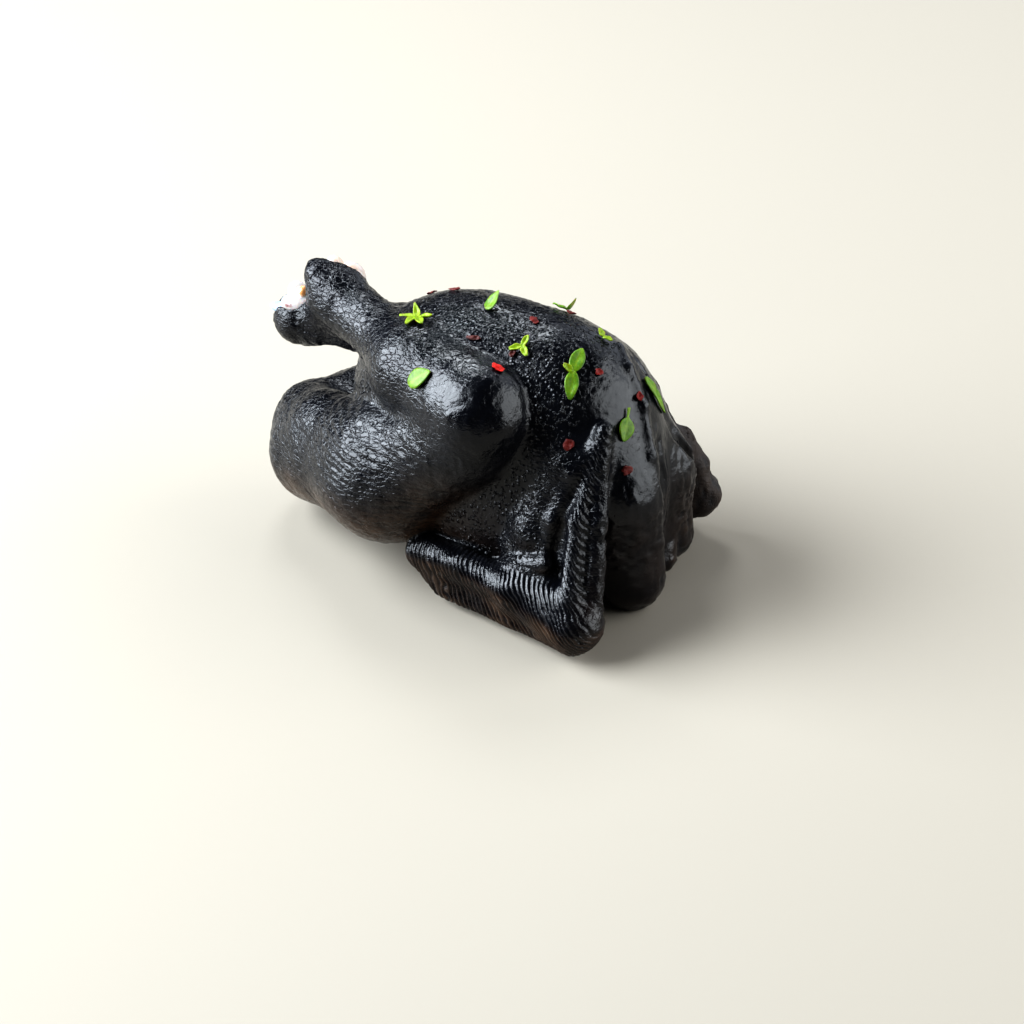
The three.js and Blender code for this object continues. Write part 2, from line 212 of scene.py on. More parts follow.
# The hand of the wing stands on edge along the ground and points back to the tail
near_hand = blend(
    4,
    web(9, [-22, -46, 7], [-34.5, -44, 18], [46, -55, 24], [48, -57, 7]),
    web(9, [-34.5, -44, 18], [-31, -43, 23], [46, -54, 25]),
    limb(5, [*NEAR_WRIST, 11], [18, -51, 21, 9], [-10, -47.5, 22, 5.5], [-34, -44, 20, 4.5]),
)
far_wing = blend(
    4,
    limb(4, [22, 30, 68, 13], [10, 40, 38, 12]),
    limb(6, [10, 42, 36, 10], [42, 50, 19, 10]),
    web(7, [33, 28, 74], [14, 40, 36], [43, 49, 20]),
    limb(4, [22, 28, 92, 3.5], [29.5, 33, 74.5, 5], [35.5, 42, 48, 5.5], [46, 50, 22, 7]),
    limb(3, [44.5, 49, 36, 4.5], [40.5, 47.5, 43, 3.8], [39.5, 48.5, 50.5, 1.5]),
    web(9, [-22, 48, 5], [-33, 47, 20], [38, 52, 22], [34, 54, 6]),
)

vent = ellipsoid([-95, 3, 66.5], [19, 9, 12], 8)
near_cup = ellipsoid([-102.5, 18, 114], [12, 8, 8], 8)
far_cup = ellipsoid([-122, 3.5, 98.5], [9.5, 9.5, 9], -10)
CUTS = [near_cup, far_cup, far_crease]
whole = blend(3, torso, blend(9, near_leg, far_leg, tail), near_wing, near_hand, far_wing)
bird = hollow(2, hollow(6, whole, vent), lambda p: np.minimum.reduce([cut(p) for cut in CUTS]))

# Bone ends, each from a list of balls: centre and radii
NEAR_JOINT = [
    [[-107, 8, 108.5], [5, 5, 5]],
    [[-99, 9, 105], [7, 6.5, 7]],
]
FAR_JOINT = [
    [[-121.5, 0, 91.5], [7, 5.5, 4]],
    [[-125, 6, 94], [4.2, 4, 4.2]],
    [[-120, 3.5, 94.5], [2.8, 3, 4]],
    [[-128.5, -2, 89], [5, 3, 2.2]],
]


def joint_shape(balls, grow=0):
    """The balls of a bone end, joined with a small fillet"""
    return blend(0.6, *[ellipsoid(centre, np.array(radii) + grow) for centre, radii in balls])


seats = blend(0.3, joint_shape(NEAR_JOINT, SEAT_GAP), joint_shape(FAR_JOINT, SEAT_GAP))
seated_bird = hollow(0.4, bird, seats)


def gradient(shape, p):
    """The way out of the shape at each point, from four points around it"""
    step = 0.05
    total = np.zeros_like(p)
    for corner in ((1, -1, -1), (-1, -1, 1), (-1, 1, -1), (1, 1, 1)):
        total += np.array(corner) * shape(p + np.array(corner) * step)[:, None]
    return total / (4 * step)


def to_surface(shape, p, height=0, rounds=6):
    """Moves points to the surface of the shape, or to a height above it"""
    least_slope = 0.04
    longest_step = 3
    for _ in range(rounds):
        g = gradient(shape, p)
        shift = (shape(p) - height) / np.maximum((g * g).sum(axis=1), least_slope)
        p = p - g * np.clip(shift, -longest_step, longest_step)[:, None]
    return p


def unit(v):
    """The same direction at length 1"""
    return v / np.maximum(np.linalg.norm(v, axis=-1, keepdims=True), 1e-9)


# Noise, from large odd numbers that scramble the bits of a cell's place; 32 and then 24 bits are kept
CELL_FACTORS = (374761393, 668265263, 1440662683)
SEED_FACTOR = 974634777
SCRAMBLE = ((13, 1274126177), (15, 668265263))
WORD = 0xFFFFFFFF
FRACTION = 0xFFFFFF


def scattered(cells, seed):
    """A number from 0 to 1 for each whole-number cell"""
    n = sum(cells[:, k] * CELL_FACTORS[k] for k in range(3)) + seed * SEED_FACTOR
    for shift, factor in SCRAMBLE:
        n = (n ^ (n >> shift)) * factor & WORD
    return ((n ^ (n >> 16)) & FRACTION) / FRACTION


def noise(p, size, seed):
    """Smooth noise from -1 to 1, with lumps of about the size, which may differ along the axes"""
    q = p / np.array(size, float)
    base = np.floor(q).astype(np.int64)
    f = q - base
    f = f * f * (3 - 2 * f)
    total = np.zeros(len(p))
    for corner in range(8):
        step = np.array([(corner >> k) & 1 for k in range(3)])
        total += np.prod(np.where(step, f, 1 - f), axis=1) * scattered(base + step, seed)
    return 2 * total - 1


def pimples(p, spacing, radius, seed):
    """Height from 0 to 1 of round bumps, one near the middle of each cell, of uneven size"""
    base = np.floor(p / spacing).astype(np.int64)
    height = np.zeros(len(p))
    for number in range(27):
        cell = base + np.array([number % 3 - 1, number // 3 % 3 - 1, number // 9 - 1])
        place = np.stack([scattered(cell, seed + k) for k in range(3)], axis=1)
        centre = (cell + 0.5 + 0.75 * (place - 0.5)) * spacing
        size = radius * (0.6 + 0.5 * scattered(cell, seed + 3))
        near = 1 - ((p - centre) ** 2).sum(axis=1) / size ** 2
        height = np.maximum(height, np.clip(near, 0, 1))
    return height


def smooth(low, high, x):
    """0 below the low value, 1 above the high one, and smooth between them"""
    t = np.clip((x - low) / (high - low), 0, 1)
    return t * t * (3 - 2 * t)


# Meshing

def sampled(shape, axes):
    """The shape's values on the grid of the axes' values"""
    values = np.empty([len(axis) for axis in axes])
    y, z = np.meshgrid(axes[1], axes[2], indexing="ij")
    for i, x in enumerate(axes[0]):
        slab = np.stack([np.full(y.size, x), y.ravel(), z.ravel()], axis=1)
        values[i] = shape(slab).reshape(y.shape)
    return values


def crossing_points(values):
    """A point in each cell that the surface crosses, and for each cell its point's number

    The point is the middle of the places where the surface crosses the cell's edges.
    """
    cells = [n - 1 for n in values.shape]
    total = np.zeros((*cells, 3))
    hits = np.zeros(cells)

    def corners(offset):
        return values[tuple(slice(o, o + n) for o, n in zip(offset, cells))]

    for axis in range(3):
        for side in range(4):
            start = [0, 0, 0]
            start[(axis + 1) % 3] = side & 1
            start[(axis + 2) % 3] = side >> 1
            end = list(start)
            end[axis] = 1
            a = corners(start)
            b = corners(end)
            crossed = (a < 0) != (b < 0)
            t = np.where(crossed, a / np.where(crossed, a - b, 1), 0)
            for k in range(3):
                total[..., k] += np.where(crossed, t if k == axis else start[k], 0)
            hits += crossed
    used = hits > 0
    number = np.full(cells, -1)
    number[used] = np.arange(used.sum())
    return np.argwhere(used) + total[used] / hits[used][:, None], number


def crossing_faces(inside, number):
    """Two triangles for each grid edge with one end inside, over the points of the four cells around it"""
    faces = []
    for axis in range(3):
        u, v = (axis + 1) % 3, (axis + 2) % 3
        first = [slice(1, -1)] * 3
        second = [slice(1, -1)] * 3
        first[axis] = slice(0, -1)
        second[axis] = slice(1, None)
        a = inside[tuple(first)]
        b = inside[tuple(second)]
        for crossed, turned in ((a & ~b, False), (b & ~a, True)):
            place = np.argwhere(crossed)
            place[:, u] += 1
            place[:, v] += 1
            ring = []
            for du, dv in ((1, 1), (0, 1), (0, 0), (1, 0)):
                cell_at = place.copy()
                cell_at[:, u] -= du
                cell_at[:, v] -= dv
                ring.append(number[tuple(cell_at.T)])
            if turned:
                ring.reverse()
            faces.append(np.stack([ring[0], ring[1], ring[2]], axis=1))
            faces.append(np.stack([ring[0], ring[2], ring[3]], axis=1))
    return np.concatenate(faces)


def surface_net(shape, low, high, cell):
    """Points and triangles of the shape's surface within a box"""
    values = sampled(shape, [np.arange(a, b + cell, cell) for a, b in zip(low, high)])
    points, number = crossing_points(values)
    return points * cell + np.array(low, float), crossing_faces(values < 0, number)


def edges_of(faces):
    """Each edge once, and for each face the numbers of its three edges"""
    pairs = np.concatenate([faces[:, [0, 1]], faces[:, [1, 2]], faces[:, [2, 0]]])
    edges, number = np.unique(np.sort(pairs, axis=1), axis=0, return_inverse=True)
    return edges, number.reshape(3, -1).T


def largest_body(points, faces):
    """Drops what isn't joined to the largest body"""
    edges, _ = edges_of(faces)
    label = np.arange(len(points))
    while True:
        low = np.minimum(label[edges[:, 0]], label[edges[:, 1]])
        after = label.copy()
        np.minimum.at(after, edges[:, 0], low)
        np.minimum.at(after, edges[:, 1], low)
        after = after[after]
        if (after == label).all():
            break
        label = after
    keep = label == np.bincount(label).argmax()
    number = np.cumsum(keep) - 1
    return points[keep], number[faces[keep[faces[:, 0]]]]


def split_long_edges(points, faces, wanted):
    """Cuts each edge in two that is much longer than the length wanted at its middle"""
    much_longer = 1.4
    edges, number = edges_of(faces)
    middle = points[edges].mean(axis=1)
    length = np.linalg.norm(points[edges[:, 0]] - points[edges[:, 1]], axis=1)
    long = length > much_longer * wanted(middle)
    new = np.cumsum(long) - 1 + len(points)
    points = np.concatenate([points, middle[long]])
    marked = long[number]
    made = [faces[marked.sum(axis=1) == 0]]
    for turn in range(3):
        order = [(turn + k) % 3 for k in range(3)]
        marks = marked[:, order]
        one = marks[:, 0] & ~marks[:, 1] & ~marks[:, 2]
        a, b, c = faces[one][:, order].T
        m = new[number[one, order[0]]]
        made += [np.stack([a, m, c], axis=1), np.stack([m, b, c], axis=1)]
        two = marks[:, 0] & marks[:, 1] & ~marks[:, 2]
        a, b, c = faces[two][:, order].T
        m = new[number[two, order[0]]]
        n = new[number[two, order[1]]]
        made += [np.stack(f, axis=1) for f in ((m, b, n), (a, m, n), (a, n, c))]
    three = marked.all(axis=1)
    a, b, c = faces[three].T
    m, n, o = new[number[three]].T
    made += [np.stack(f, axis=1) for f in ((a, m, o), (m, b, n), (o, n, c), (m, n, o))]
    return points, np.concatenate(made), long.sum()


def relax(shape, points, faces, rounds):
    """Evens out the triangles and keeps their corners on the surface"""
    share = 0.6
    edges, _ = edges_of(faces)
    ends = np.concatenate([edges[:, 0], edges[:, 1]])
    others = np.concatenate([edges[:, 1], edges[:, 0]])
    near = np.bincount(ends, minlength=len(points))[:, None]
    for _ in range(rounds):
        total = [np.bincount(ends, points[others, k], len(points)) for k in range(3)]
        shift = np.stack(total, axis=1) / near - points
        normal = unit(gradient(shape, points))
        shift -= normal * (shift * normal).sum(axis=1, keepdims=True)
        points = to_surface(shape, points + share * shift, rounds=1)
    return points


def build(shape, low, high, cell, wanted):
    """A fine mesh of the shape, with edges of the wanted lengths"""
    points, faces = largest_body(*surface_net(shape, low, high, cell))
    points = to_surface(shape, points, rounds=2)
    points = relax(shape, points, faces, 2)
    for _ in range(4):
        points, faces, cut = split_long_edges(points, faces, wanted)
        points = relax(shape, points, faces, 1)
        if not cut:
            break
    points = relax(shape, points, faces, 3)
    return to_surface(shape, points, rounds=1), faces


def add_piece(name, points, faces, material, replaced, attributes):
    """Makes a smooth mesh object from millimetre points, whose attributes have a value for each point"""
    mesh = bpy.data.meshes.new(name)
    mesh.from_pydata(((points + CENTRE_SHIFT) * MM).tolist(), [], faces.tolist())
    mesh.polygons.foreach_set("use_smooth", [True] * len(mesh.polygons))
    for key, values in attributes.items():
        mesh.attributes.new(key, "FLOAT", "POINT").data.foreach_set("value", values.astype(np.float32))
    mesh.update()
    mesh.materials.append(material)
    piece = bpy.data.objects.new(name, mesh)
    bpy.context.scene.collection.objects.link(piece)
    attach(piece, "root")
    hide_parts(*replaced)


# Relief of the skin. Noise takes the size of its lumps in millimetres and its seed

def on(shape, p, reach=1.5):
    """1 where the skin is the shape's own surface, and 0 further from it than the reach"""
    return smooth(reach, 0, shape(p))


def grooves(phase, sharpness=0.7):
    """Round ridges with narrow grooves between them: 0 on top of a ridge and -1 in a groove"""
    return np.abs(np.sin(math.pi * phase)) ** sharpness - 1


def hand_relief(p, normal):
    """Slanting rows of follicles across the hand of the near wing, deepest and most broken on its face"""
    spacing = 2.6
    x, z = p[:, 0], p[:, 2]
    face = smooth(0.45, 0.1, normal[:, 2])
    slant = 0.25 + 0.6 * smooth(-30, 45, x)
    waver = 0.5 * noise(p, 7, 1) + (0.2 + 0.2 * face) * noise(p, 3, 2)
    depth = (0.9 + 0.5 * face) * (0.75 + 0.4 * noise(p, 4, 3))
    rows = grooves((x + slant * (z - 12)) / spacing + waver, 0.7 + 0.4 * face)
    return depth * rows * smooth(64, 56, x)


def forearm_relief(p):
    """Diagonal ridges on the strip of skin along the forearm"""
    spacing = 3.1
    wrist = np.array(NEAR_WRIST)
    along = unit(np.array(NEAR_APEX) - wrist)
    waver = 0.3 * noise(p, 6, 4) + 0.15 * noise(p, 2.5, 5)
    ridges = grooves(((p - wrist) @ along + p[:, 0]) / spacing + waver)
    return 0.95 * (0.8 + 0.35 * noise(p, 5, 6)) * ridges


def thigh_relief(p):
    """Long fine wrinkles along the outside of the near thigh"""
    spacing = 2.7
    x, z = p[:, 0], p[:, 2]
    waver = 0.6 * noise(p, [16, 10, 7], 7) + 0.25 * noise(p, [5, 5, 3], 8)
    wrinkles = grooves((z + 0.06 * (x + 50)) / spacing + waver, 0.9)
    place = smooth(-98, -74, x) * smooth(-12, -30, x) * smooth(30, 42, z) * smooth(78, 68, z)
    return 0.75 * wrinkles * place * (0.75 + 0.5 * noise(p, 5, 9))


def winding(p, size, seed):
    """Ridges that wind over the skin with narrow grooves between them, like contour lines"""
    return grooves(1.6 * noise(p, size, seed) + 0.2 * noise(p, np.array(size) / 2.5, seed + 1))


def skin_relief(p, normal):
    """How far the skin stands out of the plain shape, in millimetres"""
    x, y, z = p.T
    hand = on(near_hand, p) * smooth(-30, -38, y)
    strip = on(middle_ridge, p, 2.5) * (1 - hand)
    front = on(front_ridge, p, 2) * (1 - hand) * (1 - strip)
    alula = on(thumb, p, 1.5)
    far = on(far_wing, p, 2)
    drumsticks = np.maximum(on(near_drumstick, p), on(far_drumstick, p))
    thighs = np.maximum(on(near_thigh, p), on(far_thigh, p))
    neck = on(neck_folds, p, 2) * smooth(20, 34, x)
    lobes = neck * smooth(-2, 4, y) * smooth(64, 54, z)
    shanks = drumsticks * smooth(-80, -92, x)

    # Wide unevenness everywhere
    height = 0.45 * noise(p, 13, 11) + 0.2 * noise(p, 6, 12) - 0.3
    # Wings
    height += (1 - alula) * (hand * hand_relief(p, normal) + strip * forearm_relief(p))
    height += front * 0.5 * noise(p, [2, 2, 3], 13)
    height += on(near_wing, p) * smooth(44, 56, x) * 0.5 * noise(p, [2.2, 2.2, 3], 26)
    height += alula * 0.35 * noise(p, [5, 1.8, 1.6], 14)
    height += far * 0.7 * noise(p, [2.4, 2.4, 5], 15)
    # Legs
    height += drumsticks * (0.25 * noise(p, [2.2, 6, 6], 16) + 0.15 * noise(p, 2.2, 21))
    height += on(near_thigh, p) * (1 - drumsticks) * thigh_relief(p)
    height += thighs * (1 - drumsticks) * 0.25 * noise(p, [4, 4, 2], 17)
    height += on(near_thigh, p) * smooth(-34, -16, x) * 0.3 * noise(p, [1.8, 1.8, 6], 28)
    height += shanks * 0.45 * winding(p, [10, 6, 8], 24)
    # Neck end
    height += neck * (0.25 * noise(p, [1.8, 1.8, 14], 18) + 0.25 * noise(p, [3, 3, 6], 19))
    height += neck * smooth(58, 42, z) * 0.45 * noise(p, [3.4, 3.4, 2], 27)
    height += lobes * 0.7 * winding(p, [5, 5, 16], 22)
    # Goose bumps on the plain skin
    plain = 1 - np.maximum.reduce([hand, strip, front, alula])
    height += plain * 0.25 * pimples(p, 2.7, 1.4, 20)
    highest = 0.1
    return np.minimum(height, highest) * smooth(-0.5, 2.5, z)


def cracked(p):
    """How deep the fine cracks of the skin are: most on the legs, least towards the neck end"""
    x = p[:, 0]
    legs = np.maximum(on(near_leg, p, 3), on(far_leg, p, 3)) * smooth(-8, -34, x)
    wings = np.maximum(on(near_wing, p, 2), on(far_wing, p, 2))
    depth = 0.1 + 0.2 * smooth(25, -15, x) + 0.15 * noise(p, 12, 31) + 0.2 * on(near_thigh, p, 3)
    return np.clip(np.maximum.reduce([depth, 0.8 * legs, 0.5 * wings]), 0, 1)


def dotted(p):
    """How strong the follicles show: most on the breast and the side below it, not on the neck skin"""
    legs = np.maximum(on(near_leg, p, 3), on(far_leg, p, 3))
    wing = np.maximum(on(near_hand, p), on(middle_ridge, p, 2.5))
    other = np.maximum(legs, wing)
    neck = smooth(30, 40, p[:, 0] - 0.15 * (p[:, 1] + 10))
    return np.clip((1 - 0.85 * other) * (1 - neck) * (0.85 + 0.4 * noise(p, 10, 32)), 0, 1)


def tray_reflection_and_brown(p, normal):
    """Painted warm reflection of a wooden tray beneath on the undersides, the wing's hand and the neck's
    lower folds, and a brown tone on the far wing
    """
    x, y, z = p.T
    under = smooth(0.2, -0.45, normal[:, 2]) * smooth(78, 34, z) * (0.3 + 0.7 * smooth(2, -16, x))
    hand = on(near_hand, p) * smooth(0.35, -0.1, normal[:, 2])
    folds = smooth(44, 60, x) * smooth(62, 20, z) * (0.2 + 0.4 * smooth(4, 14, y))
    tone = np.maximum.reduce([under, hand, folds, 0.5 * on(far_wing, p, 2)])
    return np.clip(tone * (0.8 + 0.35 * noise(p, 9, 30)), 0, 1)


def matte(p):
    """Where the skin is less glossy: the far wing, and a little at the front end of the near thigh"""
    thigh_end = on(near_thigh, p, 3) * smooth(-26, -8, p[:, 0])
    return np.maximum(on(far_wing, p, 2), 0.5 * thigh_end)


# Materials. A pair of colours is mixed in blotches: linear red, green and blue
BLACKS = ((0.0024, 0.0028, 0.0046), (0.0055, 0.006, 0.0085))
# Browns of a painted reflection of a wooden tray beneath, and of the far wing's brown tone
BROWNS_AND_TRAY_REFLECTION = ((0.036, 0.021, 0.013), (0.075, 0.045, 0.028))
WHITES = ((0.47, 0.45, 0.43), (0.56, 0.50, 0.47))
BLUISH_WHITE = (0.30, 0.38, 0.46)
CREAM = (0.55, 0.28, 0.11)
MARROW_RED = (0.10, 0.012, 0.010)
GREENS = ((0.055, 0.13, 0.003), (0.12, 0.22, 0.006))
YOUNG_GREEN = (0.20, 0.285, 0.004)
VEIN_GREEN = (0.17, 0.265, 0.02)
DARK_REDS = ((0.032, 0.004, 0.003), (0.085, 0.010, 0.006))
BRIGHT_RED = (0.42, 0.010, 0.004)
FLOOR_COLOUR = (0.31, 0.28, 0.235)
EVEN = (1, 1, 1)


def node_tree(name):
    """A new material with its nodes, links and shader"""
    material = bpy.data.materials.new(name)
    material.use_nodes = True
    nodes = material.node_tree.nodes
    return material, nodes, material.node_tree.links, nodes["Principled BSDF"]


def scaled_coordinates(nodes, links, scale):
    """Object coordinates times a scale along each axis"""
    place = nodes.new("ShaderNodeTexCoord")
    mapping = nodes.new("ShaderNodeMapping")
    mapping.inputs["Scale"].default_value = scale
    links.new(place.outputs["Object"], mapping.inputs["Vector"])
    return mapping.outputs["Vector"]


def noise_node(nodes, links, scale, detail=3, stretch=EVEN, roughness=0.55):
    """Noise from 0 to 1; the larger its stretch along an axis, the finer it is that way"""
    texture = nodes.new("ShaderNodeTexNoise")
    texture.inputs["Scale"].default_value = scale
    texture.inputs["Detail"].default_value = detail
    texture.inputs["Roughness"].default_value = roughness
    links.new(scaled_coordinates(nodes, links, stretch), texture.inputs["Vector"])
    return texture.outputs["Fac"]


def attribute(nodes, name):
    """The value that the mesh holds for each of its points"""
    reader = nodes.new("ShaderNodeAttribute")
    reader.attribute_name = name
    return reader.outputs["Fac"]


def mixed_colour(nodes, links, factor, first, second):
    """A colour between two; each is a socket or plain numbers"""
    mix = nodes.new("ShaderNodeMix")
    mix.data_type = "RGBA"
    links.new(factor, mix.inputs["Factor"])
    # Sockets 6 and 7 are the colours A and B, and output 2 is the mixed colour
    for socket, colour in ((mix.inputs[6], first), (mix.inputs[7], second)):
        if isinstance(colour, tuple):
            socket.default_value = (*colour, 1)
        else:
            links.new(colour, socket)
    return mix.outputs[2]


def mapped(nodes, links, value, low, high, to_low=0, to_high=1):
    """A value moved from one range to another, and kept within it"""
    node = nodes.new("ShaderNodeMapRange")
    for key, number in (("From Min", low), ("From Max", high), ("To Min", to_low), ("To Max", to_high)):
        node.inputs[key].default_value = number
    links.new(value, node.inputs["Value"])
    return node.outputs["Result"]


def blotches(nodes, links, scale):
    """Soft patches from 0 to 1"""
    return mapped(nodes, links, noise_node(nodes, links, scale), 0.35, 0.65)


def bump(nodes, links, height, distance, strength=1, before=None):
    """A bump over the one before it; the strength is a socket or a plain number"""
    node = nodes.new("ShaderNodeBump")
    node.inputs["Distance"].default_value = distance
    if isinstance(strength, (int, float)):
        node.inputs["Strength"].default_value = strength
    else:
        links.new(strength, node.inputs["Strength"])
    links.new(height, node.inputs["Height"])
    if before:
        links.new(before, node.inputs["Normal"])
    return node.outputs["Normal"]


def multiply_add(nodes, links, kind, value, factor, addend):
    """A socket's value times a plain factor, plus another socket's value"""
    node = nodes.new(kind)
    node.operation = "MULTIPLY_ADD"
    links.new(value, node.inputs[0])
    node.inputs[1].default_value = factor
    links.new(addend, node.inputs[2])
    return node.outputs[0]


def bent_coordinates(nodes, links, stretch, reach):
    """Object coordinates, moved about by noise so that cells become uneven"""
    texture = nodes.new("ShaderNodeTexNoise")
    texture.inputs["Scale"].default_value = 500
    links.new(scaled_coordinates(nodes, links, EVEN), texture.inputs["Vector"])
    shift = texture.outputs["Color"]
    straight = scaled_coordinates(nodes, links, stretch)
    return multiply_add(nodes, links, "ShaderNodeVectorMath", shift, (reach,) * 3, straight)


def cell_distance(nodes, links, feature, scale, vector):
    """The distance in a pattern of uneven cells from their middles (F1) or from their edges"""
    texture = nodes.new("ShaderNodeTexVoronoi")
    texture.feature = feature
    texture.inputs["Scale"].default_value = scale
    links.new(vector, texture.inputs["Vector"])
    return texture.outputs["Distance"]


def skin_material():
    """Wet black skin: plates between thin cracks, follicle domes, flecks and a little fine unevenness"""
    material, nodes, links, shader = node_tree("black_skin")
    blotch = mapped(nodes, links, noise_node(nodes, links, 90, detail=4), 0.35, 0.7)
    black = mixed_colour(nodes, links, blotch, *BLACKS)
    # Browner where the mesh's attribute says: a painted reflection of the tray beneath, and the far wing's
    # brown tone
    brown_and_tray_reflection = mixed_colour(nodes, links, blotch, *BROWNS_AND_TRAY_REFLECTION)
    colour = mixed_colour(nodes, links, attribute(nodes, "tray_reflection_and_brown"), black, brown_and_tray_reflection)
    links.new(colour, shader.inputs["Base Color"])
    wet = mapped(nodes, links, noise_node(nodes, links, 160), 0.35, 0.65, 0.15, 0.27)
    roughness = multiply_add(nodes, links, "ShaderNodeMath", attribute(nodes, "matte"), 0.4, wet)
    links.new(roughness, shader.inputs["Roughness"])
    shader.inputs["IOR"].default_value = 1.4

    bent = bent_coordinates(nodes, links, stretch=(0.5, 0.95, 1.15), reach=0.0022)
    plates = mapped(nodes, links, cell_distance(nodes, links, "DISTANCE_TO_EDGE", 450, bent), 0, 0.16)
    specks = noise_node(nodes, links, 560, detail=2, stretch=(1.2, 1, 0.8), roughness=0.5)
    flecks = mapped(nodes, links, specks, 0.57, 0.7)
    straight = scaled_coordinates(nodes, links, EVEN)
    domes = mapped(nodes, links, cell_distance(nodes, links, "F1", 440, straight), 0, 0.42, 1, 0)
    wrinkles = noise_node(nodes, links, 650, detail=4, stretch=(0.7, 0.9, 1.1), roughness=0.6)
    normal = bump(nodes, links, plates, 0.0002, attribute(nodes, "cracked"))
    normal = bump(nodes, links, domes, 0.0007, attribute(nodes, "pimpled"), normal)
    normal = bump(nodes, links, flecks, 0.0009, attribute(nodes, "dotted"), normal)
    normal = bump(nodes, links, wrinkles, 0.00016, before=normal)
    links.new(normal, shader.inputs["Normal"])
    return material


def cartilage_material():
    """Wet white gristle with bluish and cream parts and a dark red marrow"""
    material, nodes, links, shader = node_tree("cartilage")
    white = mixed_colour(nodes, links, blotches(nodes, links, 220), *WHITES)
    bluish = mixed_colour(nodes, links, attribute(nodes, "bluish"), white, BLUISH_WHITE)
    cream = mixed_colour(nodes, links, attribute(nodes, "cream"), bluish, CREAM)
    marrow = mixed_colour(nodes, links, attribute(nodes, "marrow"), cream, MARROW_RED)
    links.new(marrow, shader.inputs["Base Color"])
    shader.inputs["Roughness"].default_value = 0.22
    shader.inputs["Subsurface Weight"].default_value = 0.15
    shader.inputs["Subsurface Scale"].default_value = 0.002
    normal = bump(nodes, links, noise_node(nodes, links, 700), 0.0003, 0.6)
    links.new(normal, shader.inputs["Normal"])
    return material


def leaf_material():
    """Satin green, lighter along the veins and yellower on the smallest leaves"""
    material, nodes, links, shader = node_tree("herb_leaf")
    green = mixed_colour(nodes, links, blotches(nodes, links, 300), *GREENS)
    fresh = mixed_colour(nodes, links, attribute(nodes, "young"), green, YOUNG_GREEN)
    colour = mixed_colour(nodes, links, attribute(nodes, "vein"), fresh, VEIN_GREEN)
    links.new(colour, shader.inputs["Base Color"])
    shader.inputs["Roughness"].default_value = 0.45
    shader.inputs["Specular IOR Level"].default_value = 0.35
    shader.inputs["Subsurface Weight"].default_value = 0.2
    shader.inputs["Subsurface Scale"].default_value = 0.001
    normal = bump(nodes, links, noise_node(nodes, links, 1400), 0.0002, 0.5)
    links.new(normal, shader.inputs["Normal"])
    return material


def flake_material():
    """Dull dried chilli skin, dark red to bright red"""
    material, nodes, links, shader = node_tree("chilli_flake")
    dark = mixed_colour(nodes, links, blotches(nodes, links, 600), *DARK_REDS)
    colour = mixed_colour(nodes, links, attribute(nodes, "bright"), dark, BRIGHT_RED)
    links.new(colour, shader.inputs["Base Color"])
    shader.inputs["Roughness"].default_value = 0.5
    shader.inputs["Specular IOR Level"].default_value = 0.3
    normal = bump(nodes, links, noise_node(nodes, links, 1100), 0.0004)
    links.new(normal, shader.inputs["Normal"])
    return material


def floor_material():
    material, _, _, shader = node_tree("pale_floor")
    shader.inputs["Base Color"].default_value = (*FLOOR_COLOUR, 1)
    shader.inputs["Roughness"].default_value = 0.8
    return material


# Skin

def wanted_edge(p):
    """Edge lengths: short on the ridged near wing, middling on the open skin, longer low down and far off"""
    x, y, z = p.T
    far_side = smooth(8, 26, y - 0.3 * (z - 60)) * smooth(50, 42, x)
    hidden = np.maximum(smooth(30, 12, z), far_side)
    edge = OPEN_EDGE + (HIDDEN_EDGE - OPEN_EDGE) * hidden
    wing = np.minimum(near_hand(p), np.minimum(middle_ridge(p), thumb(p)))
    return edge + (WING_EDGE - edge) * smooth(3, 1, wing) * smooth(-28, -34, y - 0.25 * (z - 20))


def make_skin():
    """The skin with its relief, and the values that its material reads"""
    coarser = 1
    points, faces = build(
        seated_bird, SKIN_LOW, SKIN_HIGH, SKIN_CELL * coarser, lambda p: wanted_edge(p) * coarser,
    )
    normal = unit(gradient(seated_bird, points))
    relief = skin_relief(points, normal)
    points = points + normal * relief[:, None]
    points[:, 2] = np.maximum(points[:, 2], 0)
    follicles = dotted(points)
    # The painted tray reflection is stronger on ridges than in the grooves between them, which stay blacker
    # as painted shade, as far as the skin is brown there
    tones = {
        "tray_reflection_and_brown": tray_reflection_and_brown(points, normal) * np.clip(1.2 + relief, 0.1, 1),
        "cracked": cracked(points),
        "dotted": follicles,
        "pimpled": follicles * smooth(34, 10, points[:, 0]),
        "matte": matte(points),
    }
    add_piece("skin", points, faces, skin_material(), ["chicken"], tones)


def cartilage_mesh(shape, low, high, cell, edge, lump, seed):
    """A bone end whose surface sinks in a little, in uneven lumps"""
    points, faces = build(shape, low, high, cell, lambda p: np.full(len(p), edge))
    normal = unit(gradient(shape, points))
    return points - normal * 0.25 * np.abs(noise(points, lump, seed))[:, None], faces


